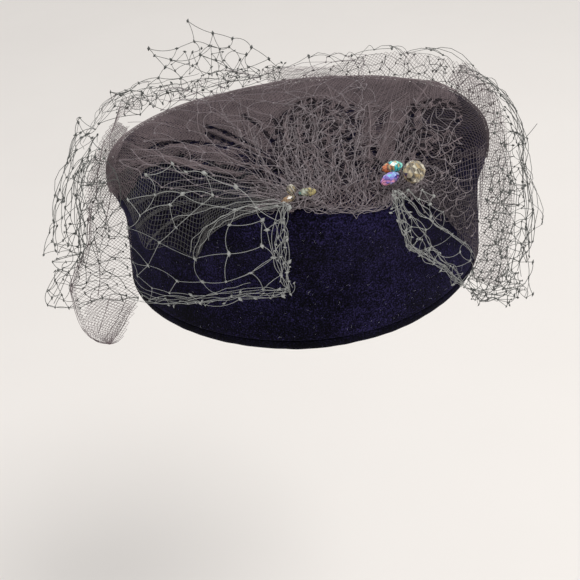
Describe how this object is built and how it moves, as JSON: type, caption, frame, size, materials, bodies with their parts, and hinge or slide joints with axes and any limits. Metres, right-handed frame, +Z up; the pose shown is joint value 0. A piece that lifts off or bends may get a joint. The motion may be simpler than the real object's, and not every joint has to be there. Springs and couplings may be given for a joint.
{
  "type": "pillbox hat",
  "caption": "Round brimless hat with a blocked velvet crown, a fine and a coarse veil gathered at the front edge of its top, and glass beads over the gathers.",
  "frame": {"origin": "centre of the head opening, at the level of the sides of the rim", "axes": "+Z up out of the top of the crown, -Y to the front of the hat where the veils are gathered, +X to the right seen from the front"},
  "size_m": [0.2489, 0.1643, 0.1342],
  "materials": {
    "velvet": "navy velvet with a short nap",
    "velvet_hem": "the same navy velvet, rolled under at the edge",
    "tulle": "fine dull grey-brown tulle",
    "net": "coarse dull blue-grey veiling with small knots",
    "clear_glass": "clear cut glass with a faint champagne tint",
    "teal_glass": "cut glass with an iridescent coat, teal to copper",
    "violet_glass": "cut glass with an iridescent coat, violet to pink",
    "gold_glass": "cut glass with an iridescent coat, gold to teal",
    "amber_glass": "cut glass with an iridescent coat, amber"
  },
  "bodies": {
    "root": {"crown": "velvet", "turned_hem": "velvet_hem", "tulle_veil": "tulle", "net_veil": "net", "bead_right_round": "clear_glass", "bead_right_upper": "teal_glass", "bead_right_lower": "violet_glass", "bead_left_round": "clear_glass", "bead_left_upper": "gold_glass", "bead_left_lower": "amber_glass"}
  },
  "joints": []
}
